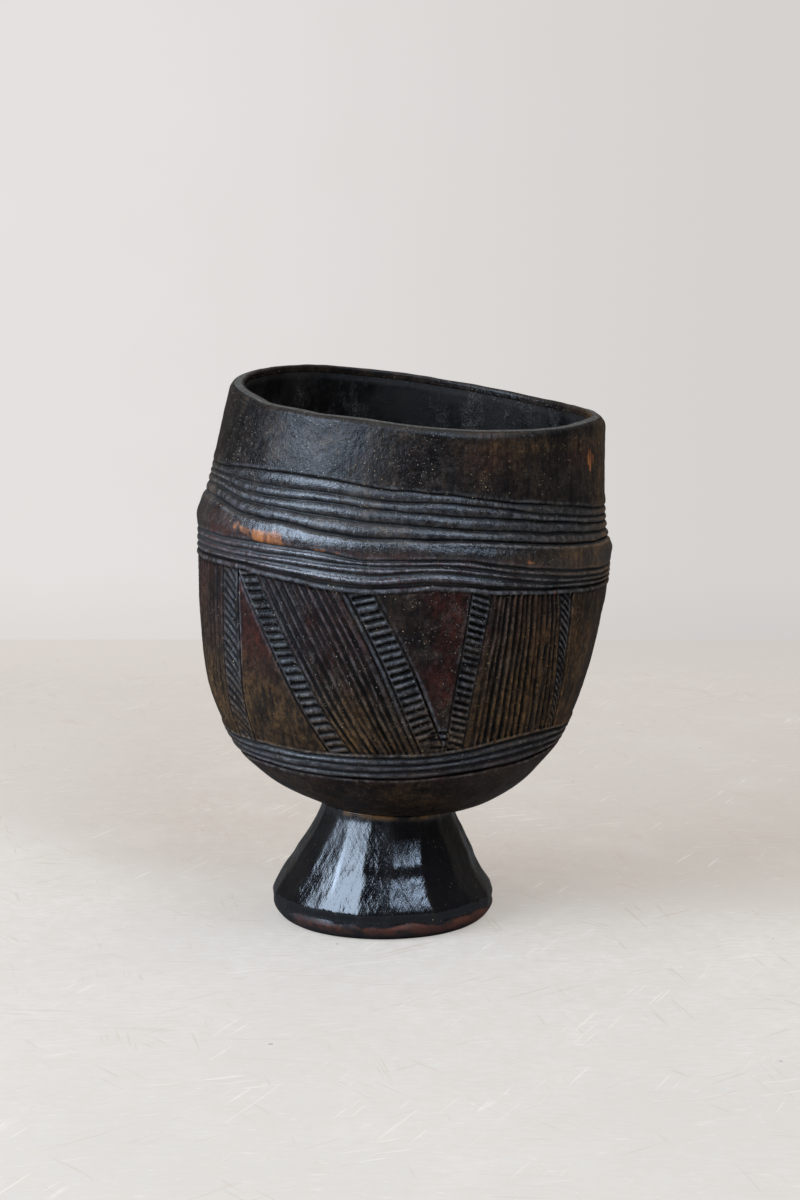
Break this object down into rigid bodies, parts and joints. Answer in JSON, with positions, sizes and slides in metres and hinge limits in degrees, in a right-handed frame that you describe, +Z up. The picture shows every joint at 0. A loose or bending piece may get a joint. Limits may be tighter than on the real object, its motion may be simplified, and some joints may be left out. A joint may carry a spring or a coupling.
{
  "type": "drinking cup",
  "caption": "Carved dark wood drinking cup: round bowl with a plain collar, cut rings and incised triangles, on a faceted foot with a tenon.",
  "frame": {"origin": "centre of the foot's flat resting face, on the surface that the cup stands on", "axes": "+Z up through the cup, from the foot to the rim; +Y away from someone who sees the bowl lean to the right; +X to that person's right"},
  "size_m": [0.1249, 0.1242, 0.1655],
  "materials": {
    "bowl_wood": "very dark brown hardwood, handled to a satin shine, with red-brown and ochre wear on edges and pale dust in the cuts",
    "foot_wood": "black hardwood cut in flat facets and polished by handling, glossy, with a worn red-brown band under its widest edge"
  },
  "bodies": {
    "root": {"bowl": "bowl_wood", "foot": "foot_wood"}
  },
  "joints": []
}
